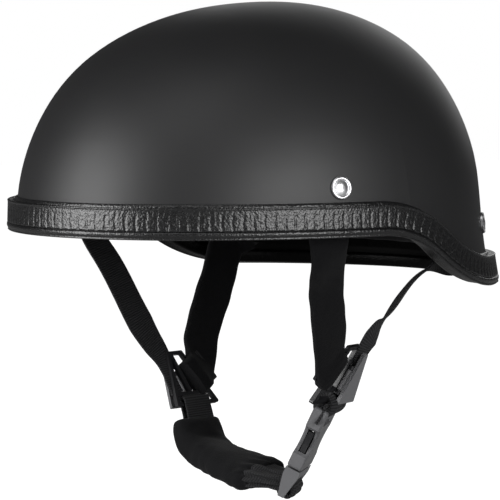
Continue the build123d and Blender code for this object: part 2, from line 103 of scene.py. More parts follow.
def add(tree: Tree, kind: str, inputs: dict | None = None, **settings: object) -> Node:
    """Add a node with its settings and links.

    Args:
        tree: the node tree.
        kind: the node's type name.
        inputs: values or linked sockets, by input name or number.
        settings: the node's own properties.

    Returns:
        The new node.
    """
    node = tree.nodes.new(kind)
    for key, value in settings.items():
        setattr(node, key, value)
    for key, value in (inputs or {}).items():
        if isinstance(value, Socket):
            tree.links.new(value, node.inputs[key])
        else:
            node.inputs[key].default_value = value
    return node


def calculate(tree: Tree, operation: str, *values: Socket | float) -> Socket:
    """Work out one number from others in a material.

    Args:
        tree: the node tree.
        operation: the math node's operation.
        values: its inputs in order.

    Returns:
        The result.
    """
    return add(tree, "ShaderNodeMath", dict(enumerate(values)), operation=operation).outputs[0]


def sum_of(tree: Tree, first: Socket, second: Socket, share: float) -> Socket:
    """Add a share of the second value to the first."""
    return calculate(tree, "ADD", first, calculate(tree, "MULTIPLY", second, share))


@dataclass(frozen=True)
class Finish:
    """A surface: its colour, how it shines, and the painted shade in its hollows or on its inner side."""

    name: str
    slot: str
    colour: str
    roughness: float
    metallic: float = 0.0
    specular: float = 0.5
    sheen: float = 0.0
    # The colour of painted shade, put in hollows and on inner faces where shade falls.
    painted_shade: str = "#060606"

    def material(self) -> bpy.types.Material:
        """Make the material, or find it if it is made."""
        made = bpy.data.materials.get(self.name)
        if made:
            return made
        material = bpy.data.materials.new(self.name)
        material.use_nodes = True
        tree = material.node_tree
        tree.nodes.clear()
        inputs = {
            "Base Color": linear(self.colour),
            "Roughness": self.roughness,
            "Metallic": self.metallic,
            "Specular IOR Level": self.specular,
            "Sheen Weight": self.sheen,
        }
        shader = add(tree, "ShaderNodeBsdfPrincipled", inputs)
        self.detail(tree, shader)
        add(tree, "ShaderNodeOutputMaterial", {"Surface": shader.outputs[0]})
        return material

    def detail(self, tree: Tree, shader: Node) -> None:
        """Add the finish's own pattern to the shader."""

    def noise(self, tree: Tree, size: float, detail: float = 2.0, uv: bool = False) -> Socket:
        """A noise of a real grain size.

        Args:
            tree: the node tree.
            size: the grain's size in metres.
            detail: how many finer steps it has.
            uv: whether it follows the piece's own map, not its place.

        Returns:
            The noise's value.
        """
        place = add(tree, "ShaderNodeTexCoord").outputs["UV" if uv else "Object"]
        inputs = {"Vector": place, "Scale": 1 / size, "Detail": detail}
        return add(tree, "ShaderNodeTexNoise", inputs).outputs[0]

    def cells(self, tree: Tree, size: float, uv: bool = False) -> Socket:
        """Round cells of a real size, lowest at their middles."""
        place = add(tree, "ShaderNodeTexCoord").outputs["UV" if uv else "Object"]
        inputs = {"Vector": place, "Scale": 1 / size}
        return add(tree, "ShaderNodeTexVoronoi", inputs).outputs["Distance"]

    def vary(self, tree: Tree, shader: Node, name: str, value: Socket, low: object, high: object) -> None:
        """Let a value in the middle of its range move an input from low to high.

        Args:
            tree: the node tree.
            shader: the shader.
            name: the name of its input.
            value: the pattern, from 0 to 1.
            low: what the input is where the pattern is low.
            high: what it is where the pattern is high.
        """
        colour = name == "Base Color"
        spread = add(tree, "ShaderNodeMapRange", {"Value": value, "From Min": 0.3, "From Max": 0.7})
        first, second, out = (6, 7, 2) if colour else (2, 3, 0)
        inputs = {0: spread.outputs[0], first: low, second: high}
        mix = add(tree, "ShaderNodeMix", inputs, data_type="RGBA" if colour else "FLOAT")
        tree.links.new(mix.outputs[out], shader.inputs[name])

    def vary_gloss(self, tree: Tree, shader: Node, value: Socket, less: float, more: float) -> None:
        """Let a pattern make the surface a little less and a little more rough."""
        self.vary(tree, shader, "Roughness", value, self.roughness - less, self.roughness + more)

    def paint_shade(self, tree: Tree, shader: Node, value: Socket) -> None:
        """Let a pattern take the colour from its painted shade, where it is low, to its full tone."""
        self.vary(tree, shader, "Base Color", value, linear(self.painted_shade), linear(self.colour))

    def emboss(self, tree: Tree, shader: Node, height: Socket, depth: float) -> None:
        """Turn a height from 0 to 1 to a relief of a real depth."""
        relief = add(tree, "ShaderNodeBump", {"Height": height, "Distance": depth, "Strength": 1.0})
        tree.links.new(relief.outputs[0], shader.inputs["Normal"])


@dataclass(frozen=True)
class OuterFinish(Finish):
    """A finish of an outer face, whose inner side is left dull as it was moulded and darkened with painted
    shade.
    """

    inner_specular: float = 0.06

    def dull_and_shade_inside(self, tree: Tree, shader: Node) -> None:
        """Take the gloss from what looks in at the head, and darken its colour with painted shade."""
        place = add(tree, "ShaderNodeTexCoord")
        inputs = {0: place.outputs["Object"], 1: place.outputs["Normal"]}
        away = add(tree, "ShaderNodeVectorMath", inputs, operation="DOT_PRODUCT").outputs["Value"]
        outside = calculate(tree, "GREATER_THAN", away, 0.0)
        self.vary(tree, shader, "Specular IOR Level", outside, self.inner_specular, self.specular)
        # Painted shade: the inner faces take the darker shade colour, as the inside of the helmet lies in
        # shade.
        self.paint_shade(tree, shader, outside)


@dataclass(frozen=True)
class MattPaint(OuterFinish):
    """Matt lacquer on moulded ABS: a wide soft sheen with a faint dry grain."""

    grain: float = 0.0006
    depth: float = 0.000012
    cloud: float = 0.045

    def detail(self, tree: Tree, shader: Node) -> None:
        """Fine grain, and broad patches that are a little drier."""
        self.emboss(tree, shader, self.noise(tree, self.grain), self.depth)
        self.vary_gloss(tree, shader, self.noise(tree, self.cloud), less=0.02, more=0.02)
        self.dull_and_shade_inside(tree, shader)


@dataclass(frozen=True)
class EmbossedVinyl(OuterFinish):
    """Extruded PVC pressed with a leather grain: shallow pits that break up its gloss."""

    pit: float = 0.0011
    depth: float = 0.00016

    def detail(self, tree: Tree, shader: Node) -> None:
        """Round pits with finer wrinkles between them."""
        pits = self.cells(tree, self.pit, uv=True)
        wrinkles = self.noise(tree, self.pit / 2, 3, uv=True)
        self.emboss(tree, shader, sum_of(tree, pits, wrinkles, 0.6), self.depth)
        self.vary_gloss(tree, shader, wrinkles, less=0.06, more=0.08)
        self.dull_and_shade_inside(tree, shader)


@dataclass(frozen=True)
class PolishedSteel(Finish):
    """Nickelled steel, tumbled bright, with faint wiping marks."""

    marks: float = 0.0009

    def detail(self, tree: Tree, shader: Node) -> None:
        """Wiping marks that dull the polish a little."""
        self.vary_gloss(tree, shader, self.noise(tree, self.marks, 3), less=0.0, more=0.08)


@dataclass(frozen=True)
class Webbing(Finish):
    """Woven polyamide: round ribs across the tape, each with threads along it."""

    rib: float = 0.0013
    thread: float = 0.0005
    depth: float = 0.00035

    def wave(self, tree: Tree, value: Socket, pitch: float) -> Socket:
        """Even waves along one direction of the tape."""
        return calculate(tree, "SINE", calculate(tree, "MULTIPLY", value, math.tau / pitch))

    def detail(self, tree: Tree, shader: Node) -> None:
        """Ribs and threads, with painted shade darkening the hollows between the thread tops."""
        place = add(tree, "ShaderNodeTexCoord").outputs["UV"]
        apart = add(tree, "ShaderNodeSeparateXYZ", {0: place})
        ribs = self.wave(tree, apart.outputs[1], self.rib)
        threads = self.wave(tree, apart.outputs[0], self.thread)
        height = sum_of(tree, ribs, threads, 0.35)
        height = sum_of(tree, height, self.noise(tree, self.thread, uv=True), 0.5)
        height = calculate(tree, "MULTIPLY_ADD", height, 0.25, 0.45)
        self.emboss(tree, shader, height, self.depth)
        # Painted shade: the colour darkens in the low parts of the weave.
        self.paint_shade(tree, shader, height)


@dataclass(frozen=True)
class Plush(Finish):
    """Brushed polyester pile: soft, deep black, with a faint bloom at its edges."""

    tuft: float = 0.0009
    clump: float = 7.0
    depth: float = 0.0004

    def detail(self, tree: Tree, shader: Node) -> None:
        """Tufts of two sizes, with painted shade between them."""
        tufts = self.noise(tree, self.tuft, 4)
        clumps = self.noise(tree, self.tuft * self.clump, 2)
        self.emboss(tree, shader, sum_of(tree, tufts, clumps, 0.7), self.depth)
        # Painted shade: the colour darkens where the tufts are low.
        self.paint_shade(tree, shader, tufts)


@dataclass(frozen=True)
class BeadedFoam(Finish):
    """Expanded polystyrene, black: pressed beads with thin seams between them."""

    bead: float = 0.0034
    depth: float = 0.0003

    def detail(self, tree: Tree, shader: Node) -> None:
        """Beads that stand a little proud of their seams, with painted shade in the seams."""
        raised = calculate(tree, "SUBTRACT", 1.0, self.cells(tree, self.bead))
        self.emboss(tree, shader, raised, self.depth)
        # Painted shade: the colour darkens in the low seams between the beads.
        self.paint_shade(tree, shader, raised)


@dataclass(frozen=True)
class Moulded(Finish):
    """Moulded polyamide or acetal: fine spark-eroded texture under a low gloss."""

    grain: float = 0.00035
    depth: float = 0.00001
    wear: float = 0.006

    def detail(self, tree: Tree, shader: Node) -> None:
        """The tool's grain and its slightly uneven gloss."""
        self.emboss(tree, shader, self.noise(tree, self.grain), self.depth)
        self.vary_gloss(tree, shader, self.noise(tree, self.wear, 3), less=0.04, more=0.05)


matt_paint = MattPaint("matt_painted_abs", "shell", "#1b1b1c", 0.49)
vinyl = EmbossedVinyl("embossed_pvc_trim", "trim", "#0f0f10", 0.28, specular=0.68)
steel = PolishedSteel("nickelled_steel", "rivet_steel", "#f0f0f2", 0.26, metallic=1.0)
webbing = Webbing(
    "woven_polyamide_webbing", "webbing", "#2a2a2c", 0.8, specular=0.3, sheen=0.03, painted_shade="#0a0a0b"
)
plush = Plush(
    "brushed_polyester_pile", "plush", "#0e0e10", 0.95, specular=0.2, sheen=0.03, painted_shade="#08080a"
)
pad_cloth = Plush(
    "knitted_pad_cloth", "pad_cloth", "#0d0d0f", 0.9, specular=0.2, sheen=0.03, painted_shade="#08080a", tuft=0.0007
)
foam = BeadedFoam("beaded_polystyrene", "liner_foam", "#080808", 0.95, specular=0.05, painted_shade="#040404")
black_nylon = Moulded("moulded_black_polyamide", "moulded_black", "#1e1e20", 0.34)
# Painted highlight: the buckle is dark acetal, and this mid-grey colour stands in for the lamps' reflections
# on its faces.
buckle_acetal_painted_highlight = Moulded("moulded_dark_acetal", "moulded_black", "#5e5e60", 0.36)
grey_acetal = Moulded("moulded_grey_acetal", "moulded_grey", "#6a6a6c", 0.38)


@dataclass
class Stop:
    """A place that a strap passes, the way it faces there and its width there as a share."""

    place: Vector
    facing: Vector
    wide: float = 1.0


@dataclass
class Section:
    """One section of a strap: where it is, its two directions, its width and how far along."""

    middle: np.ndarray
    across: np.ndarray
    outward: np.ndarray
    wide: float = 1.0
    distance: float = 0.0

    def ring(self, x: np.ndarray, y: np.ndarray) -> np.ndarray:
        """The places of an outline's points, which are given across and outward."""
        return self.middle + np.outer(x, self.across) + np.outer(y, self.outward)


def unit(ways: np.ndarray) -> np.ndarray:
    """The same directions, each with the length of one."""
    return ways / np.linalg.norm(ways, axis=-1, keepdims=True)


def spline(points: np.ndarray, step: float) -> tuple[np.ndarray, np.ndarray, np.ndarray]:
    """A smooth way through some points, with no bend at its ends.

    Args:
        points: the points, one a row.
        step: the distance between the places returned.

    Returns:
        The places, the directions there, and which leg and share of it each lies at.
    """
    knots = np.append(0, np.cumsum(np.linalg.norm(np.diff(points, axis=0), axis=1)))
    gaps = np.diff(knots)
    slopes = np.diff(points, axis=0) / gaps[:, None]
    matrix = np.eye(len(points))
    bends = np.zeros_like(points)
    for row in range(1, len(points) - 1):
        matrix[row, row - 1 : row + 2] = gaps[row - 1], 2 * (gaps[row - 1] + gaps[row]), gaps[row]
        bends[row] = 6 * (slopes[row] - slopes[row - 1])
    bends = np.linalg.solve(matrix, bends)
    reach = np.linspace(0, knots[-1], max(2, math.ceil(knots[-1] / step)) + 1)
    legs = np.clip(np.searchsorted(knots, reach, "right") - 1, 0, len(gaps) - 1)
    gap = gaps[legs][:, None]
    after = (reach - knots[legs])[:, None]
    before = gap - after
    first, second = bends[legs], bends[legs + 1]
    start = points[legs] / gap - first * gap / 6
    end = points[legs + 1] / gap - second * gap / 6
    places = (first * before**3 + second * after**3) / (6 * gap) + start * before + end * after
    ways = (second * after**2 - first * before**2) / (2 * gap) - start + end
    return places, unit(ways), legs + (after / gap)[:, 0]


def sections_through(stops: list[Stop], step: float, end_across: Vector | None = None) -> list[Section]:
    """Sections of a strap along its smooth way through its stops.

    Args:
        stops: the places that it passes.
        step: the distance from one section to the next.
        end_across: the way that its last edge lies, if it ends on a slanted bar.

    Returns:
        The sections in order.
    """
    places, ways, shares = spline(np.array([stop.place for stop in stops]), step)
    distances = np.append(0, np.cumsum(np.linalg.norm(np.diff(places, axis=0), axis=1)))
    sections = []
    for place, way, share, distance in zip(places, ways, shares, distances):
        leg = min(int(share), len(stops) - 2)
        part = share - leg
        facing = np.array(stops[leg].facing) * (1 - part) + np.array(stops[leg + 1].facing) * part
        across = unit(np.cross(way, facing))
        if end_across is not None and leg == len(stops) - 2:
            target = np.array(end_across)
            across = unit(across * (1 - part) + target * part * np.sign(across @ target))
        wide = stops[leg].wide * (1 - part) + stops[leg + 1].wide * part
        sections.append(Section(place, across, unit(np.cross(across, way)), wide, distance))
    return sections


def flat_outline(width: float, thickness: float, count: int, fullness: float) -> np.ndarray:
    """A flattened round outline.

    Args:
        width: its full width.
        thickness: its full thickness.
        count: its number of points.
        fullness: 1 for an ellipse, towards 0 for a rectangle.

    Returns:
        Its points (across, outward), one a row.
    """
    angles = np.arange(count) * math.tau / count
    x, y = np.cos(angles), np.sin(angles)
    x = np.sign(x) * np.abs(x) ** fullness * width / 2
    y = np.sign(y) * np.abs(y) ** fullness * thickness / 2
    return np.column_stack([x, y])


@dataclass(frozen=True)
class Tape:
    """The harness's webbing: its width, its thickness and how round its edges are."""

    width: float = 0.020
    thickness: float = 0.0016
    fullness: float = 0.42

    def outline(self, count: int, layers: float = 1.0) -> np.ndarray:
        """The outline of one layer of the webbing, or of some that lie bunched."""
        return flat_outline(self.width, self.thickness * layers, count, self.fullness)


TAPE = Tape()


def read_places(obj: Object) -> np.ndarray:
    """The places of a mesh's points, one a row."""
    places = np.empty(len(obj.data.vertices) * 3)
    obj.data.vertices.foreach_get("co", places)
    return places.reshape(-1, 3)


def write_places(obj: Object, places: np.ndarray) -> None:
    """Move a mesh's points to new places."""
    obj.data.vertices.foreach_set("co", places.ravel())
    obj.data.update()


def pick(obj: Object) -> None:
    """Select one piece alone and make it the active one."""
    if bpy.context.object and bpy.context.object.mode != "OBJECT":
        bpy.ops.object.mode_set(mode="OBJECT")
    bpy.ops.object.select_all(action="DESELECT")
    obj.select_set(True)
    bpy.context.view_layer.objects.active = obj


def shape_by(obj: Object, kind: str, **settings: object) -> None:
    """Apply one modifier to a piece.

    Args:
        obj: the piece.
        kind: the modifier's type.
        settings: the modifier's own values.
    """
    pick(obj)
    modifier = obj.modifiers.new(kind.lower(), kind)
    for key, value in settings.items():
        setattr(modifier, key, value)
    bpy.ops.object.modifier_apply(modifier=modifier.name)


def close_mesh(obj: Object) -> None:
    """Weld a piece's seams, fill its open ends and turn its faces outwards."""
    pick(obj)
    bpy.ops.object.mode_set(mode="EDIT")
    bpy.ops.mesh.select_all(action="SELECT")
    bpy.ops.mesh.remove_doubles(threshold=WELD)
    bpy.ops.mesh.fill_holes(sides=0)
    bpy.ops.mesh.normals_make_consistent(inside=False)
    bpy.ops.object.mode_set(mode="OBJECT")


def smooth(obj: Object, degrees: float = 50.0) -> None:
    """Shade a piece smooth, but for its sharp edges."""
    pick(obj)
    bpy.ops.object.shade_smooth_by_angle(angle=math.radians(degrees))


def lay_grid(name: str, rows: np.ndarray, ring: bool = False) -> Object:
    """Lay a flat grid on rows of points, with its map in metres, and close it.

    Args:
        name: the piece's name.
        rows: places by row, column and coordinate.
        ring: whether the rows close on the first one too, as a hoop does.

    Returns:
        The piece, closed along its columns and at its ends.
    """
    if ring:
        rows = np.concatenate([rows, rows[:1]])
    rows = np.concatenate([rows, rows[:, :1]], axis=1)
    along, around = rows.shape[0] - 1, rows.shape[1] - 1
    bpy.ops.object.select_all(action="DESELECT")
    bpy.ops.mesh.primitive_grid_add(x_subdivisions=around, y_subdivisions=along, size=1)
    obj = bpy.context.object
    obj.name = name
    obj.data.name = name
    flat = read_places(obj)
    column = np.rint((flat[:, 0] + 0.5) * around).astype(int)
    row = np.rint((flat[:, 1] + 0.5) * along).astype(int)
    write_places(obj, rows[row, column])
    girth = np.append(0, np.cumsum(np.linalg.norm(np.diff(rows[along // 2], axis=0), axis=1)))
    reach = np.append(0, np.cumsum(np.linalg.norm(np.diff(rows.mean(axis=1), axis=0), axis=1)))
    corners = np.empty(len(obj.data.loops), int)
    obj.data.loops.foreach_get("vertex_index", corners)
    plan = np.column_stack([girth[column[corners]], reach[row[corners]]])
    obj.data.uv_layers.active.data.foreach_set("uv", plan.ravel())
    close_mesh(obj)
    return obj


def lay_band(name: str, sections: list[Section], outline: np.ndarray) -> Object:
    """A strap of one outline along its sections.

    Args:
        name: the piece's name.
        sections: the strap's sections.
        outline: its points (across, outward).

    Returns:
        The closed piece.
    """
    rows = [part.ring(outline[:, 0] * part.wide, outline[:, 1]) for part in sections]
    obj = lay_grid(name, np.array(rows))
    smooth(obj)
    return obj


def dress(obj: Object, finish: Finish, body: str) -> None:
    """Give a new piece its finish and its body."""
    obj.data.materials.clear()
    obj.data.materials.append(finish.material())
    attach(obj, body)
    log.info("%s: %d faces, %s", obj.name, len(obj.data.polygons), finish.name)


def dress_nodes(finish: Finish, *nodes: str) -> None:
    """Give CAD nodes their finish, in place."""
    for node in nodes:
        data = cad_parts[node].data
        data.materials.clear()
        data.materials.append(finish.material())
        log.info("%s: %s", node, finish.name)


def surface_of(node: str) -> BVHTree:
    """A CAD node's surface, to be probed by rays."""
    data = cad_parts[node].data
    return BVHTree.FromPolygons([v.co for v in data.vertices], [p.vertices for p in data.polygons])


@dataclass
class HelmetWall:
    """The shell's wall, as the straps and rivets lie against it."""

    probe: float = 0.2
    around: float = 0.006

    def __post_init__(self) -> None:
        """Read the shell's surface from the frame."""
        self.surface = surface_of("outer_shell")

    def at(self, side: Side, y: float, z: float, depth: float) -> tuple[Vector, Vector]:
        """A place in from the shell's outer face, with its curve evened out round it.

        Args:
            side: the wearer's side.
            y: how far back it is.
            z: how high it is.
            depth: how far in from the outer face.

        Returns:
            The place and the outward direction there.
        """
        inward = Vector((-side.value, 0, 0))
        hits, normals = [], []
        for dy, dz in ((1, 0), (-1, 0), (0, 1), (0, -1)):
            start = Vector((side.value * self.probe, y + dy * self.around, z + dz * self.around))
            hit, normal, _, _ = self.surface.ray_cast(start, inward)
            # Below the rim's edge a ray finds no wall.
            if hit:
                hits.append(hit.x)
                normals.append(normal)
        outward = sum(normals, Vector()).normalized()
        x = sum(hits) / len(hits) - depth / outward.x
        return Vector((x, y, z)), outward


@dataclass
class Hanging:
    """How a moulded piece hangs: its middle, its turn about the upright and its lean."""

    place: Place
    side: Side
    turn: float
    lean: float

    def __post_init__(self) -> None:
        """Work out its directions: across, down and outward."""
        turn, lean = math.radians(self.turn), math.radians(self.lean)
        self.across = Vector((math.sin(turn), -math.cos(turn), 0)) * self.side.value
        level = Vector((math.cos(turn), math.sin(turn), 0)) * self.side.value
        self.outward = level * math.cos(lean) - Vector((0, 0, math.sin(lean)))
        self.down = self.outward.cross(self.across)

    def at(self, x: float, y: float, z: float = 0.0) -> Vector:
        """A point of the piece's own frame, in the helmet's."""
        return Vector(self.place) + self.across * x + self.down * y + self.outward * z


BUCKLE = Hanging((0.053, -0.0027, -0.0915), Side.LEFT, 33.0, 25.4)
DIVIDERS = {
    Side.LEFT: Hanging((0.0595, -0.0016, -0.073), Side.LEFT, 9.0, 23.6),
    Side.RIGHT: Hanging((-0.059, -0.0025, -0.0865), Side.RIGHT, 0.0, 23.6),
}
# How far below a divider's middle its lower bar lies.
LOWER_BAR = 0.0154


@dataclass
class Rim:
    """The rim line seen from the side: level brim, sloping drop and level neck guard."""

    brim_level: float = 0.006
    brim_corner: float = -0.003
    neck_corner: float = 0.047
    drop: float = math.radians(32.6)
    fall: float = math.radians(1.2)
    brim_radius: float = 0.074
    neck_radius: float = 0.108

    def height(self, y: float) -> tuple[float, float]:
        """The rim's height and fall at a place.

        Args:
            y: how far back it is.

        Returns:
            Its height, and its downward slope there as an angle.
        """
        neck_level = self.brim_level - (self.neck_corner - self.brim_corner) * math.tan(self.drop)
        brim_reach = self.brim_radius * math.tan(self.drop / 2)
        neck_reach = self.neck_radius * math.tan((self.drop - self.fall) / 2)
        start = self.brim_corner - brim_reach
        bend = start + self.brim_radius * math.sin(self.drop)
        level = self.neck_corner - neck_reach * math.cos(self.drop)
        end = self.neck_corner + neck_reach * math.cos(self.fall)
        if y <= start:
            return self.brim_level, 0.0
        if y <= bend:
            angle = math.asin((y - start) / self.brim_radius)
            return self.brim_level - self.brim_radius * (1 - math.cos(angle)), angle
        if y <= level:
            return self.brim_level - (y - self.brim_corner) * math.tan(self.drop), self.drop
        if y <= end:
            angle = math.asin(math.sin(self.drop) - (y - level) / self.neck_radius)
            top = neck_level + neck_reach * math.sin(self.drop)
            return top - self.neck_radius * (math.cos(angle) - math.cos(self.drop)), angle
        return neck_level - (y - self.neck_corner) * math.tan(self.fall), self.fall


@dataclass
class EdgeTrim:
    """The U-channel over the shell's cut edge, pressed with tongues and pits."""

    stations: int = 1560
    far_probe: float = 0.3
    near_probe: float = 0.05
    rim_radius: float = 0.13
    probe_rounds: int = 6
    low_probe: float = 0.003
    high_probe: float = 0.0145
    proud: float = 0.004
    wall: float = 0.004
    inner_leg: float = 0.0028
    inner_height: float = 0.0095
    top: float = 0.0170
    floor: float = 0.003
    seat: float = 0.0001
    swell: float = 0.0012
    swell_from: float = -0.0025
    face_low: float = 0.0040
    face_high: float = 0.0146
    face_points: int = 18
    tongue: float = 0.0054
    lean: float = 0.10
    slit: float = 0.00055
    slit_depth: float = 0.00045
    ridge_start: float = 0.55
    ridge_share: float = 0.6
    pit: float = 0.0007
    pit_depth: float = 0.00022
    pit_rows: tuple[tuple[float, float], ...] = ((0.0, 0.36), (0.5, 0.66))
    fade: float = 0.06

    def rim_frames(self) -> tuple[np.ndarray, np.ndarray, np.ndarray, np.ndarray]:
        """Read where the trim's outer face runs.

        Returns:
            Its foot, its upward and outward directions, and its distance along the rim.
        """
        surface = surface_of("edge_trim")
        rim = Rim()
        feet, tops = [], []
        for index in range(self.stations):
            angle = math.tau * index / self.stations
            inward = Vector((-math.cos(angle), -math.sin(angle), 0))
            y = -self.rim_radius * inward.y
            # The rim's height depends on the place found, so the ray is cast again from there.
            for _ in range(self.probe_rounds):
                level, slope = rim.height(y)
                start = Vector((0, 0, level + self.low_probe)) - inward * self.far_probe
                hit = surface.ray_cast(start, inward)[0]
                y = hit.y
            square = Vector((0, math.sin(slope), math.cos(slope)))
            top = hit + square * (self.high_probe - self.low_probe)
            tops.append(surface.ray_cast(top - inward * self.near_probe, inward)[0])
            feet.append(hit)
        feet, tops = np.array(feet), np.array(tops)
        up = unit(tops - feet)
        feet = feet - up * self.low_probe
        along = np.roll(feet, -1, axis=0) - np.roll(feet, 1, axis=0)
        steps = np.linalg.norm(np.roll(feet, -1, axis=0) - feet, axis=1)
        return feet, up, unit(np.cross(along, up)), np.append(0, np.cumsum(steps))

    def profile(self) -> np.ndarray:
        """The channel's section (out, up) from its outer face, starting at its foot."""
        shell = -self.proud + self.seat
        inside = -self.proud - self.wall - self.seat
        leg = inside - self.inner_leg
        bead = [(-0.0022, 0.0001), (-0.0016, -0.0005), (-0.0009, -0.0006), (-0.0004, -0.0002)]
        fold = [(-0.0006, 0.0003), (-0.0004, 0.0007), (0.0, 0.0014), (0.0002, 0.0023)]
        groove = [(0.0001, 0.0031), (-0.0006, 0.0036)]
        face = [(0.0, up) for up in np.linspace(self.face_low, self.face_high, self.face_points)]
        lip = [(0.0002, 0.0149), (0.0002, 0.0153), (-0.0002, 0.0156), (-0.0012, 0.0155)]
        recess = [(-0.0022, 0.0151), (-0.0026, 0.0155), (-0.0028, self.top), (-0.0033, self.top + 0.0003)]
        channel = [(shell, self.top), (shell, self.floor), (inside, self.floor), (inside, self.inner_height)]
        inner = [(inside - 0.0008, self.inner_height + 0.0003), (leg + 0.0004, self.inner_height)]
        inner += [(leg, self.inner_height - 0.001), (leg, 0.0034)]
        foot = [(leg + 0.0005, 0.0027), (leg + 0.002, 0.0020)]
        return np.array(bead + fold + groove + face + lip + recess + channel + inner + foot)

    def relief(self, distance: np.ndarray, up: np.ndarray) -> np.ndarray:
        """How far the pressed pattern lowers the face.

        Args:
            distance: how far along the rim each station is.
            up: the height of each point of the section.

        Returns:
            The depths by station and point.
        """
        height = self.face_high - self.face_low
        count = round(distance[-1] / self.tongue)
        turns = distance[:-1, None] * count / distance[-1]
        rise = (up[None, :] - self.face_low) / height
        lean = self.lean * np.sin(rise * math.pi * 1.1)

        def lines(shift: float) -> np.ndarray:
            """Leaning lines, one to each tongue, from 0 beside them to 1 in their middles."""
            side = np.abs((turns + shift + lean) % 1 - 0.5) * self.tongue
            return np.exp(-(((self.tongue / 2 - side) / self.slit) ** 2))

        slits = lines(0.0) * np.clip(1.05 - rise, 0, 1)
        ridges = lines(0.5) * np.clip(rise - self.ridge_start, 0, 1)
        pits = 0.0
        for shift, middle in self.pit_rows:
            x = ((turns + shift) % 1 - 0.5) * self.tongue
            y = (rise - middle) * height
            pits = pits + np.exp(-(x**2 + y**2) / self.pit**2)
        ends = np.clip(rise / self.fade, 0, 1) * np.clip((1 - rise) / self.fade, 0, 1)
        return ends * (self.slit_depth * (slits + self.ridge_share * ridges) + self.pit_depth * pits)

    def build(self) -> None:
        """Make the trim and put it in its CAD node's place."""
        feet, up, out, distance = self.rim_frames()
        section = self.profile()
        depth = self.relief(distance, section[:, 1])
        depth = np.where(section[:, 0] > -self.seat, depth, 0.0)
        swell = np.where(section[:, 0] > self.swell_from, self.swell, 0.0)
        outs = (section[:, 0] + swell)[None, :] - depth
        rows = feet[:, None] + up[:, None] * section[None, :, 1, None] + out[:, None] * outs[..., None]
        trim = lay_grid("trim_channel", rows, ring=True)
        smooth(trim, 60)
        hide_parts("edge_trim")
        dress(trim, vinyl, "helmet")


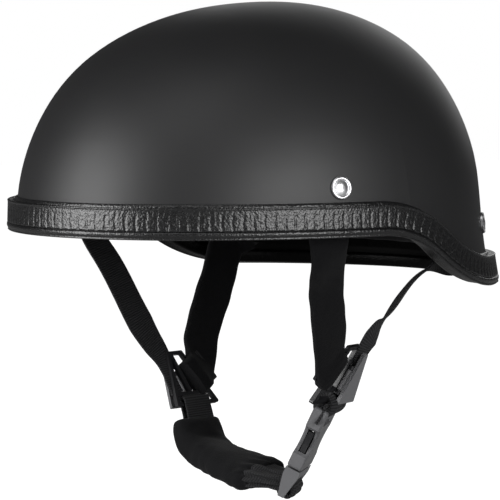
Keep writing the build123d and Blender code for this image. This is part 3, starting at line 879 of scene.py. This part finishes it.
@dataclass
class Straps:
    """The four riveted straps and the two plush sleeves over them."""

    shell_wall: float = 0.004
    wall_seat: float = 0.0011
    tab_reach: float = 0.009
    tab_steps: int = 12
    bar_run: tuple[float, float] = (0.018, 0.033)
    bar_middle: float = 0.007
    bar_inset: float = 0.0011
    bar_shift: float = 0.0026
    bar_loop: float = 0.0024
    bar_turn: tuple[float, float] = (70.0, 290.0)
    bar_steps: int = 25
    slot_bulge: float = 0.0054
    neck_reach: float = 0.0044
    tucked_height: float = 0.0015
    step: float = 0.0015
    points: int = 28
    sleeve_width: float = 0.0228
    sleeve_thickness: float = 0.0046
    sleeve_fullness: float = 0.55
    sleeve_depth: float = 0.0098
    sleeve_step: float = 0.001
    sleeve_points: int = 40
    hem: float = 0.10
    hem_reach: float = 0.0022
    slack: float = 0.018
    unevenness: float = 0.012
    dents: float = 0.10
    bar_swell: float = 0.9
    bar_swell_start: float = 0.004
    bar_swell_reach: float = 0.007

    def __post_init__(self) -> None:
        """Read the wall, and set the straps' ways."""
        self.wall = HelmetWall()
        self.looped = ((Side.LEFT, End.FRONT), (Side.RIGHT, End.REAR))
        self.rivets = {End.FRONT: (-0.046, 0.0305), End.REAR: (0.086, 0.006)}
        self.headings = {End.FRONT: Vector((0, 0, 1)), End.REAR: Vector((-0.63, 0.62, 0.48))}
        self.wall_places = {
            End.FRONT: [(-0.046, 0.0165), (-0.046, 0.0055)],
            End.REAR: [(0.0685, -0.0065), (0.061, -0.0105)],
        }
        self.runs = {
            (Side.LEFT, End.FRONT): [
                (0.086, -0.0355, -0.0175),
                (0.0774, -0.0263, -0.0356),
                (0.0698, -0.017, -0.0535),
            ],
            (Side.LEFT, End.REAR): [
                (0.0836, 0.0423, -0.018),
                (0.0745, 0.0325, -0.032),
                (0.0669, 0.0245, -0.0475),
            ],
            (Side.RIGHT, End.FRONT): [
                (-0.089, -0.0405, -0.016),
                (-0.0795, -0.0335, -0.0375),
                (-0.0728, -0.0282, -0.054),
            ],
            (Side.RIGHT, End.REAR): [
                (-0.0863, 0.0463, -0.0253),
                (-0.077, 0.0285, -0.048),
                (-0.0686, 0.014, -0.068),
            ],
        }
        # The left rear strap's half turn: which way it faces at each place of its run.
        leaving, edge_on = Vector((0.66, 0.68, -0.30)), Vector((0.70, 0.70, -0.14))
        self.twist = (leaving, edge_on, edge_on)
        # Where a strap is tucked under a flap: across, down and its width as a share.
        self.tucked = [
            (-0.0182, -0.0205, 0.8),
            (-0.015, -0.0125, 0.62),
            (-0.0139, -0.004, 0.42),
            (-0.0115, 0.008, 0.44),
        ]
        # A strap's end on a looped bar, folded back under itself: away from the bar and outward.
        self.folded = [(0.0026, -0.0019), (0.0045, -0.0013), (0.0075, -0.0011), (0.0105, -0.0012)]
        self.sleeve_overlap = {Side.LEFT: 0.0050, Side.RIGHT: 0.0122}
        self.sleeve_shift = {Side.LEFT: 0.0, Side.RIGHT: 0.0026}

    def slanted_bar(self, side: Side) -> tuple[Vector, Vector, Vector]:
        """The middle, outward and lengthwise directions of a divider's slanted bar."""
        divider = DIVIDERS[side]
        along = Vector(self.bar_run).normalized()
        inward = Vector((-along.y, along.x))
        middle = Vector((self.bar_middle, 0.0)) + inward * self.bar_inset - along * self.bar_shift
        outward = divider.across * -inward.x + divider.down * -inward.y
        lengthwise = divider.across * along.x + divider.down * along.y
        return divider.at(middle.x, middle.y), outward, lengthwise

    def tab(self, side: Side, end: End) -> tuple[Vector, Vector, Vector]:
        """The tab under a rivet: its two ends and the way it faces."""
        place, outward = self.wall.at(side, *self.rivets[end], 0)
        heading = self.headings[end].copy()
        heading.x *= side.value
        heading = (heading - outward * heading.dot(outward)).normalized()
        middle = place - outward * (self.shell_wall + self.wall_seat + TAPE.thickness / 2)
        return middle + heading * self.tab_reach, middle - heading * self.tab_reach, outward

    def stops(self, side: Side, end: End) -> list[Stop]:
        """The stops of a strap's way, from below its tab to its divider."""
        divider = DIVIDERS[side]
        facing = divider.outward
        _, below, outward = self.tab(side, end)
        stops = [Stop(below, outward)]
        stops += [Stop(*self.wall.at(side, y, z, self.sleeve_depth)) for y, z in self.wall_places[end]]
        start = stops[-1].facing
        run = self.runs[side, end]
        if (side, end) == (Side.LEFT, End.REAR):
            stops += [Stop(Vector(point), way) for point, way in zip(run, self.twist)]
        else:
            shares = [(index + 1) / (len(run) + 1) for index in range(len(run))]
            stops += [Stop(Vector(p), start * (1 - share) + facing * share) for p, share in zip(run, shares)]
        if (side, end) in self.looped:
            middle, away, _ = self.slanted_bar(side)
            return stops + [Stop(middle + away * self.neck_reach, facing)]
        tucked = [Stop(divider.at(x, y, self.tucked_height), facing, wide) for x, y, wide in self.tucked]
        return stops + tucked

    def sections(self, side: Side, end: End) -> list[Section]:
        """A strap's sections, with its flat tab first."""
        bar = self.slanted_bar(side)[2] if (side, end) in self.looped else None
        sections = sections_through(self.stops(side, end), self.step, bar)
        top, below, outward = self.tab(side, end)
        across = np.cross(np.array((below - top).normalized()), np.array(outward))
        if across @ sections[0].across < 0:
            across = -across
        # The tab stops just short of the place where the strap's way starts.
        shares = np.linspace(0, 0.95, self.tab_steps)
        tab = [Section(np.array(top.lerp(below, share)), across, np.array(outward)) for share in shares]
        return tab + sections

    def turn_back(self, side: Side, sections: list[Section]) -> list[Section]:
        """The strap's end, taken round the slanted bar and back on itself."""
        middle, away, _ = self.slanted_bar(side)
        face = DIVIDERS[side].outward
        across = sections[-1].across
        way = []
        for angle in np.linspace(*self.bar_turn, self.bar_steps):
            turn = math.radians(angle)
            # On the bar's far side the strap bulges into the slot.
            bulge = self.slot_bulge if 90 < angle < 270 else self.bar_loop
            way.append((math.cos(turn) * bulge, math.sin(turn) * self.bar_loop))
        places = np.array([np.array(middle + away * x + face * z) for x, z in way + self.folded])
        steps = np.gradient(places, axis=0)
        return [Section(place, across, unit(np.cross(across, step))) for place, step in zip(places, steps)]

    def build_strap(self, side: Side, end: End) -> None:
        """Make one strap and put it in its CAD node's place."""
        sections = self.sections(side, end)
        if (side, end) in self.looped:
            sections = sections[:-2] + self.turn_back(side, sections)
        strap = lay_band(f"{end.value}_webbing_{side.word}", sections, TAPE.outline(self.points))
        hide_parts(f"{end.value}_strap_{side.word}")
        dress(strap, webbing, "helmet")

    def over_bar(self, side: Side, last: Section) -> list[Section]:
        """The sleeve's end, pushed down over the strap's loop and the slanted bar."""
        away = np.array(self.slanted_bar(side)[1])
        over = []
        for reach in np.arange(0.0, self.sleeve_overlap[side], self.sleeve_step):
            place = last.middle - away * reach - last.outward * min(reach / 2, self.sleeve_shift[side])
            over.append(Section(place, last.across, last.outward, 1.0, last.distance + reach))
        return over

    def build_sleeve(self, side: Side, end: End) -> None:
        """Make one plush sleeve, a little slack and uneven, with a hem at each end."""
        stops = self.stops(side, end)
        sections = sections_through(stops, self.sleeve_step, self.slanted_bar(side)[2])
        first = float(np.linalg.norm(np.array(stops[1].place - stops[0].place)))
        covered = [part for part in sections if part.distance > first][:-3]
        bar = covered[-1].distance
        covered += self.over_bar(side, sections[-1])
        wide, thick = self.sleeve_width, self.sleeve_thickness
        outline = flat_outline(wide, thick, self.sleeve_points, self.sleeve_fullness)
        rows = []
        span = covered[-1].distance - covered[0].distance
        for part in covered:
            share = (part.distance - covered[0].distance) / span
            edge = min(share, 1 - share) * span
            hem = 1 + self.hem * np.exp(-((edge / self.hem_reach) ** 2))
            slack = 1 + self.slack * math.sin(share * 19 + side.value)
            slack += self.unevenness * math.sin(share * 41 + 2)
            dents = 1 + self.dents * np.sin(outline[:, 0] * 420 + share * 23) * math.sin(share * 31)
            over = np.clip((part.distance - bar + self.bar_swell_start) / self.bar_swell_reach, 0, 1)
            full = 1 + self.bar_swell * over
            rows.append(part.ring(outline[:, 0] * slack, outline[:, 1] * hem * dents * full))
        sleeve = lay_grid(f"plush_sleeve_{side.word}", np.array(rows))
        smooth(sleeve, 70)
        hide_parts(f"sleeve_{side.word}")
        dress(sleeve, plush, "helmet")

    def build(self) -> None:
        """Make all straps and sleeves."""
        for side in Side:
            for end in End:
                self.build_strap(side, end)
        for side, end in self.looped:
            self.build_sleeve(side, end)


@dataclass
class Buckle:
    """The webbing at the side-release buckle: the bunched tie above, its tail, and the loop below."""

    divider_bar: float = -0.0050
    socket_bar: float = 0.0015
    tie_radius: float = 0.0026
    tie_bulge: float = 0.0018
    tie_low_wide: float = 0.98
    tie_high_wide: float = 0.72
    tie_layers: float = 2.6
    tie_steps: int = 72
    crumple: float = 0.0007
    points: int = 48
    tail_wide: float = 0.34
    tail_points: int = 24
    plug_bar: float = 0.0479
    loop_radius: float = 0.0036
    loop_swell: float = 0.35
    loop_layers: float = 2.0
    loop_fullness: float = 0.5
    loop_steps: int = 48
    loop_folds: float = 0.0005

    def __post_init__(self) -> None:
        """Set the tail's way in the buckle's own frame."""
        self.tail_way = [
            (0.0068, 0.0006, 0.0),
            (0.0088, 0.0010, 0.0008),
            (0.0112, 0.0040, 0.0012),
            (0.0128, 0.0085, 0.0006),
        ]

    def belt(self) -> list[Section]:
        """The tie's way round the divider's lower bar and the socket's top bar."""
        divider = DIVIDERS[Side.LEFT]
        top = divider.at(self.divider_bar, LOWER_BAR)
        low = BUCKLE.at(0, self.socket_bar)
        down = (low - top).normalized()
        places, acrosses, wides = [], [], []
        for index in range(self.tie_steps + 1):
            turn = math.tau * index / self.tie_steps - math.pi / 2
            lift = 0.5 + 0.5 * math.sin(turn)
            face = BUCKLE.outward.lerp(divider.outward, lift).normalized()
            bulge = self.tie_radius + self.tie_bulge * math.cos(turn) ** 2
            around = face * (math.cos(turn) * bulge) - down * (math.sin(turn) * self.tie_radius)
            places.append(low.lerp(top, lift) + around)
            acrosses.append(BUCKLE.across.lerp(divider.across, lift).normalized())
            wides.append(self.tie_low_wide * (1 - lift) + self.tie_high_wide * lift)
        places, acrosses = np.array(places), np.array(acrosses)
        outwards = unit(np.cross(np.gradient(places, axis=0), acrosses))
        return [Section(*parts) for parts in zip(places, acrosses, outwards, wides)]

    def build_tie(self) -> None:
        """Make the bunched webbing, its folds and its tail."""
        outline = TAPE.outline(self.points, self.tie_layers)
        rows = []
        for index, part in enumerate(self.belt()):
            share = index / self.tie_steps
            wave = np.sin(outline[:, 0] * 900 + 3 * math.sin(share * math.tau))
            crumple = self.crumple * wave * math.sin(share * math.pi) ** 2
            rows.append(part.ring(outline[:, 0] * part.wide, outline[:, 1] + crumple))
        tie = lay_grid("buckle_tie", np.array(rows))
        smooth(tie)
        stops = [Stop(BUCKLE.at(*point), BUCKLE.outward, self.tail_wide) for point in self.tail_way]
        tail = lay_band("tie_tail", sections_through(stops, FINE_STEP), TAPE.outline(self.tail_points))
        pick(tie)
        tail.select_set(True)
        bpy.ops.object.join()
        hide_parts("buckle_strap")
        dress(tie, webbing, "helmet")

    def build_loop(self) -> None:
        """Make the thick loop of webbing round the plug's bar."""
        middle = BUCKLE.at(0, self.plug_bar)
        thick = TAPE.thickness * self.loop_layers
        outline = flat_outline(TAPE.width, thick, self.points, self.loop_fullness)
        rows = []
        for index in range(self.loop_steps + 1):
            turn = math.tau * index / self.loop_steps + math.pi
            radius = self.loop_radius * (1 + self.loop_swell * max(0.0, math.cos(turn - math.pi / 3)))
            outward = BUCKLE.outward * math.cos(turn) + BUCKLE.down * math.sin(turn)
            part = Section(np.array(middle + outward * radius), np.array(BUCKLE.across), np.array(outward))
            folds = self.loop_folds * np.sin(outline[:, 0] * 1100 + 5 * turn)
            rows.append(part.ring(outline[:, 0], outline[:, 1] + folds))
        loop = lay_grid("plug_webbing", np.array(rows))
        smooth(loop)
        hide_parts("plug_loop")
        dress(loop, webbing, "plug")

    def build(self) -> None:
        """Make the webbing and dress the moulded pieces."""
        self.build_tie()
        self.build_loop()
        # The buckle's grey colour is painted highlight.
        dress_nodes(buckle_acetal_painted_highlight, "buckle_socket", "buckle_plug")
        dress_nodes(black_nylon, "divider_left", "divider_right", "prong_front", "prong_rear")
        dress_nodes(grey_acetal, "flap_left", "flap_right")


@dataclass
class ChinRest:
    """The padded sleeve under the chin, the webbing through it and its gathered end."""

    width: float = 0.037
    laid_width: float = 0.03626
    laid_thickness: float = 0.0133
    laid_fullness: float = 0.62
    laid_points: int = 36
    laid_step: float = 0.002
    webbing_points: int = 28
    rounded_end: float = 0.0025
    pressure: float = 4.0
    frames: int = 20
    voxel: float = 0.0042
    cap: float = 0.0022
    wrinkle_depth: float = 0.00038
    fold_depth: float = 0.0009
    gather_from: float = 0.80
    gather_start: Place = (0.0150, -0.0163, -0.1316)
    gather_end: Place = (0.0345, -0.0145, -0.1330)
    across_at_pad: Place = (0.15, -0.98, 0.0)
    across_at_plug: Place = (0.5446, -0.8387, 0.0)
    gather_width: float = 0.030
    gather_thickness: float = 0.0115
    gather_fullness: float = 0.75
    gather_points: int = 72
    gather_steps: int = 26
    divider_bar: float = -0.0022

    def __post_init__(self) -> None:
        """Set the pad's way and the webbing's way round its bar."""
        # Places, facings and widths as shares.
        self.run = [
            ((-0.0498, -0.0068, -0.1078), (-0.917, 0, -0.40), 0.94),
            ((-0.0480, -0.0070, -0.1135), (-0.88, 0, -0.47), 1.0),
            ((-0.0440, -0.0076, -0.1210), (-0.70, 0, -0.71), 1.0),
            ((-0.0350, -0.0089, -0.1262), (-0.35, 0, -0.94), 1.0),
            ((-0.0200, -0.0110, -0.1290), (-0.10, 0, -1), 1.0),
            ((-0.0050, -0.0132, -0.1304), (0, 0.10, -1), 1.0),
            ((0.0095, -0.0155, -0.1313), (0.1, 0.16, -1), 0.98),
            ((0.0195, -0.0170, -0.1314), (0.2, 0.20, -1), 0.92),
        ]
        # Down from the bar, outward, the facing as a turn from straight down, and the width.
        self.webbing_run = [
            (0.0135, 0.0016, 90, 1.0),
            (0.0090, 0.0020, 90, 0.96),
            (0.0045, 0.0022, 90, 0.9),
            (0.0008, 0.0021, 90, 0.88),
            (-0.0020, 0.0012, 130, 0.9),
            (-0.0044, -0.0006, 180, 0.94),
            (-0.0030, -0.0024, 230, 0.94),
            (0.0008, -0.0026, 270, 0.94),
            (0.0045, -0.0024, 270, 0.94),
            (0.0090, -0.0020, 270, 0.96),
            (0.0135, -0.0016, 270, 1.0),
        ]

    def build_webbing(self) -> None:
        """The webbing from the right divider's lower bar to the pad."""
        divider = DIVIDERS[Side.RIGHT]
        stops = []
        for down, out, turn, wide in self.webbing_run:
            turn = math.radians(turn)
            facing = divider.down * math.cos(turn) + divider.outward * math.sin(turn)
            stops.append(Stop(divider.at(self.divider_bar, LOWER_BAR + down, out), facing, wide))
        sections = sections_through(stops, FINE_STEP)
        strap = lay_band("chin_webbing", sections, TAPE.outline(self.webbing_points))
        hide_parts("chin_strap")
        dress(strap, webbing, "helmet")

    def inflate(self, pad: Object) -> None:
        """Swell a closed pad as its filling does, with its movement capped.

        Args:
            pad: the pad's mesh, remeshed evenly.
        """
        before = read_places(pad)
        pick(pad)
        cloth = pad.modifiers.new("filling", "CLOTH")
        cloth.settings.use_pressure = True
        cloth.settings.uniform_pressure_force = self.pressure
        cloth.settings.effector_weights.gravity = 0.0
        cloth.point_cache.frame_start = 1
        cloth.point_cache.frame_end = self.frames
        scene = bpy.context.scene
        for number in range(1, self.frames + 1):
            scene.frame_set(number)
        bpy.ops.object.modifier_apply(modifier="filling")
        scene.frame_set(1)
        moved = read_places(pad) - before
        length = np.linalg.norm(moved, axis=1)
        share = np.minimum(1, self.cap / np.maximum(length, 1e-9))
        write_places(pad, before + moved * share[:, None])

    def wrinkle(self, pad: Object, sections: list[Section]) -> None:
        """Press shallow wrinkles across the pad, deeper towards its gathered end.

        Args:
            pad: the pad's finished mesh.
            sections: its sections, which say how far along a point is.
        """
        places = read_places(pad)
        middles = np.array([part.middle for part in sections])
        nearest = np.argmin(np.linalg.norm(places[:, None] - middles[None], axis=2), axis=1)
        across = np.array([part.across for part in sections])[nearest]
        outward = np.array([part.outward for part in sections])[nearest]
        way = np.cross(outward, across)
        offset = places - middles[nearest]
        past = np.sum(offset * way, axis=1)
        along = np.array([part.distance for part in sections])[nearest] + past
        side = np.sum(offset * across, axis=1) / (self.width / 2)
        share = along / sections[-1].distance
        waves = np.sin(along * 560 + 3.1 * side + 1.3 * np.sin(along * 170))
        edge = np.clip(np.abs(side) * 1.4 - 0.35, 0, 1)
        wrinkles = self.wrinkle_depth * edge * waves * np.clip(share * 1.6, 0.15, 1)
        gather = np.clip((share - self.gather_from) / (1 - self.gather_from), 0, 1)
        folds = self.fold_depth * gather * np.sin(side * 15 + 2 * np.sin(along * 300))
        outside = offset - way * past[:, None]
        outside /= np.maximum(np.linalg.norm(outside, axis=1), 1e-6)[:, None]
        write_places(pad, places + outside * (wrinkles + folds)[:, None])

    def build_pad(self) -> None:
        """Make the pad: laid, remeshed, swollen, and wrinkled towards its gathered end."""
        stops = [Stop(Vector(place), Vector(facing), wide) for place, facing, wide in self.run]
        sections = sections_through(stops, self.laid_step)
        outline = flat_outline(self.laid_width, self.laid_thickness, self.laid_points, self.laid_fullness)
        reach = sections[-1].distance
        rows = []
        for part in sections:
            end = min(part.distance, reach - part.distance)
            close = 1 - 0.25 * math.exp(-((end / self.rounded_end) ** 2))
            rows.append(part.ring(outline[:, 0] * part.wide * (0.6 + 0.4 * close), outline[:, 1] * close))
        pad = lay_grid("chin_pad_cover", np.array(rows))
        shape_by(pad, "REMESH", mode="VOXEL", voxel_size=self.voxel)
        self.inflate(pad)
        for _ in range(2):
            shape_by(pad, "SUBSURF", levels=1, render_levels=1)
        self.wrinkle(pad, sections)
        smooth(pad, 80)
        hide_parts("chin_pad")
        dress(pad, pad_cloth, "helmet")

    def build_gather(self) -> None:
        """The webbing between the pad and the plug, bunched in folds."""
        start, end = Vector(self.gather_start), Vector(self.gather_end)
        across_start = Vector(self.across_at_pad).normalized()
        across_end = Vector(self.across_at_plug)
        way = (end - start).normalized()
        wide, thick = self.gather_width, self.gather_thickness
        outline = flat_outline(wide, thick, self.gather_points, self.gather_fullness)
        angle = np.arctan2(outline[:, 1] / thick, outline[:, 0] / wide)
        rows = []
        for share in np.arange(self.gather_steps + 1) / self.gather_steps:
            across = across_start.lerp(across_end, share).normalized()
            outward = way.cross(across).normalized()
            part = Section(np.array(start.lerp(end, share)), np.array(across), np.array(outward))
            slim = 1 - 0.14 * math.sin(share * math.pi) ** 2 - 0.22 * share**3
            folds = 1 + 0.12 * np.sin(angle * 9 + share * 1.6) + 0.05 * np.sin(angle * 17 - share * 4)
            rows.append(part.ring(outline[:, 0] * slim * folds, outline[:, 1] * slim * folds))
        gather = lay_grid("gathered_webbing", np.array(rows))
        smooth(gather)
        gather.data.materials.append(webbing.material())
        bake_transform(gather)
        log.info("%s: %d faces", gather.name, len(gather.data.polygons))

    def build(self) -> None:
        """Make the chin rest."""
        self.build_webbing()
        self.build_pad()
        self.build_gather()


@dataclass
class Lining:
    """The foam liner and the padded cloth inside it."""

    pads: tuple[str, ...] = ("brow_pad", "crown_pad", "side_pad_left", "side_pad_right", "nape_pad")
    weld: float = 1e-6
    voxel: float = 0.0028

    def build_pad(self, node: str) -> None:
        """Round one comfort pad off: its own form, remeshed, with soft edges."""
        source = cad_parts[node]
        pad = source.copy()
        pad.data = source.data.copy()
        for key in list(pad.keys()):
            del pad[key]
        pad.parent = None
        bpy.context.scene.collection.objects.link(pad)
        pad.name = f"{node}_cover"
        pad.data.name = pad.name
        pick(pad)
        bpy.ops.object.mode_set(mode="EDIT")
        bpy.ops.mesh.select_all(action="SELECT")
        bpy.ops.mesh.remove_doubles(threshold=self.weld)
        bpy.ops.object.mode_set(mode="OBJECT")
        shape_by(pad, "REMESH", mode="VOXEL", voxel_size=self.voxel)
        shape_by(pad, "SMOOTH", factor=0.5, iterations=9)
        shape_by(pad, "SUBSURF", levels=1, render_levels=1)
        smooth(pad, 80)
        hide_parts(node)
        dress(pad, pad_cloth, "helmet")

    def build(self) -> None:
        """Dress the liner and make the pads."""
        dress_nodes(foam, "impact_liner")
        for node in self.pads:
            self.build_pad(node)


@dataclass
class Shell:
    """The moulded shell and its rivets, which keep their CAD forms."""

    def build(self) -> None:
        """Dress the shell, rivets and washers."""
        dress_nodes(matt_paint, "outer_shell")
        dress_nodes(steel, "strap_rivets", "rivet_washers")


@dataclass
class Softbox:
    """One large soft lamp, aimed at the helmet, with its turn from the camera."""

    name: str
    turn: float
    height: float
    distance: float
    width: float
    tall: float
    power: float


@dataclass
class Studio:
    """Pale floor and backdrop, soft lamps, and a camera at the photograph's angle."""

    turn: float = 46.862
    rise: float = 3.992
    distance: float = 1.2853
    lens: float = 166.35
    shift: tuple[float, float] = (-0.0269, -0.0342)
    floor_level: float = -0.26
    floor_size: float = 12.0
    room: float = 0.10
    mirrored_room: float = 0.04
    mirrored_ground: float = 0.18
    mirrored_floor: float = 0.08
    lamps: tuple[Softbox, ...] = (
        Softbox("left_softbox", -62.0, 0.22, 1.5, 1.0, 1.3, 30.0),
        Softbox("front_softbox", 38.0, 0.28, 1.9, 1.1, 1.2, 27.0),
        Softbox("rear_softbox", 165.0, 0.60, 1.6, 1.2, 0.9, 4.5),
        Softbox("overhead_softbox", -10.0, 2.0, 1.3, 1.4, 1.4, 8.0),
    )

    def backward(self) -> Vector:
        """The way from the helmet to the camera."""
        turn, rise = math.radians(self.turn), math.radians(self.rise)
        level = math.cos(rise)
        return Vector((math.sin(turn) * level, -math.cos(turn) * level, math.sin(rise)))

    def build_camera(self) -> None:
        """Set the camera where the photograph was taken from."""
        bpy.ops.object.select_all(action="DESELECT")
        away = self.backward()
        bpy.ops.object.camera_add(location=away * self.distance)
        camera = bpy.context.object
        camera.rotation_euler = (-away).to_track_quat("-Z", "Y").to_euler()
        camera.data.lens = self.lens
        camera.data.shift_x, camera.data.shift_y = self.shift
        camera.data.clip_end = 50.0
        bpy.context.scene.camera = camera

    def build_lamps(self) -> None:
        """Set the soft lamps round the helmet."""
        for lamp in self.lamps:
            turn = math.radians(self.turn + lamp.turn)
            place = Vector((math.sin(turn) * lamp.distance, -math.cos(turn) * lamp.distance, lamp.height))
            bpy.ops.object.light_add(type="AREA", location=place)
            light = bpy.context.object
            light.name = lamp.name
            light.rotation_euler = (-place).to_track_quat("-Z", "Y").to_euler()
            light.data.shape = "RECTANGLE"
            light.data.size = lamp.width
            light.data.size_y = lamp.tall
            light.data.energy = lamp.power

    def seen(self, tree: Tree) -> Socket:
        """1 for rays that show the backdrop white: the camera's, and those let through."""
        path = add(tree, "ShaderNodeLightPath")
        return calculate(tree, "MAXIMUM", path.outputs["Is Camera Ray"], path.outputs["Is Transmission Ray"])

    def build_world(self) -> None:
        """A white backdrop behind the helmet and a dim room elsewhere."""
        world = bpy.data.worlds.new("studio")
        bpy.context.scene.world = world
        world.use_nodes = True
        tree = world.node_tree
        tree.nodes.clear()
        way = add(tree, "ShaderNodeTexCoord").outputs["Generated"]
        low = Vector((0, 0, -1)) - self.backward() * 0.4
        facing = add(tree, "ShaderNodeVectorMath", {0: way, 1: tuple(low)}, operation="DOT_PRODUCT")
        inputs = {"Value": facing.outputs["Value"], "From Min": 0.2, "From Max": 0.7}
        inputs |= {"To Min": self.mirrored_room, "To Max": self.mirrored_ground}
        mirrored = add(tree, "ShaderNodeMapRange", inputs).outputs[0]
        path = add(tree, "ShaderNodeLightPath")
        level = add(tree, "ShaderNodeMix", {0: path.outputs["Is Glossy Ray"], 2: self.room, 3: mirrored})
        level = calculate(tree, "MAXIMUM", level.outputs[0], self.seen(tree))
        background = add(tree, "ShaderNodeBackground", {"Color": (1, 1, 1, 1), "Strength": level})
        add(tree, "ShaderNodeOutputWorld", {"Surface": background.outputs[0]})

    def build_floor(self) -> None:
        """A pale floor that the camera sees as near white, with the helmet's shadow."""
        bpy.ops.object.select_all(action="DESELECT")
        bpy.ops.mesh.primitive_plane_add(size=self.floor_size, location=(0, 0, self.floor_level))
        floor = bpy.context.object
        floor.name = "studio_floor"
        material = bpy.data.materials.new("pale_seamless_paper")
        material.use_nodes = True
        tree = material.node_tree
        tree.nodes.clear()
        path = add(tree, "ShaderNodeLightPath")
        mirrored = calculate(tree, "MULTIPLY", path.outputs["Is Glossy Ray"], self.mirrored_floor)
        inputs = {
            "Base Color": linear("#8c8c8c"),
            "Roughness": 0.9,
            "Specular IOR Level": 0.1,
            "Emission Color": (1, 1, 1, 1),
            "Emission Strength": calculate(tree, "MAXIMUM", self.seen(tree), mirrored),
        }
        shader = add(tree, "ShaderNodeBsdfPrincipled", inputs)
        add(tree, "ShaderNodeOutputMaterial", {"Surface": shader.outputs[0]})
        floor.data.materials.append(material)

    def build(self) -> None:
        """Set up the camera, lamps, world and floor."""
        self.build_camera()
        self.build_lamps()
        self.build_world()
        self.build_floor()
        bpy.context.scene.view_settings.view_transform = "Standard"


def main() -> None:
    """Build every sub-assembly in order."""
    logging.basicConfig(level=logging.INFO, format="%(name)s %(message)s")
    for assembly in (Studio(), Shell(), EdgeTrim(), Lining(), Straps(), Buckle(), ChinRest()):
        assembly.build()
        log.info("%s is built", type(assembly).__name__)


if __name__ == "__main__":
    main()
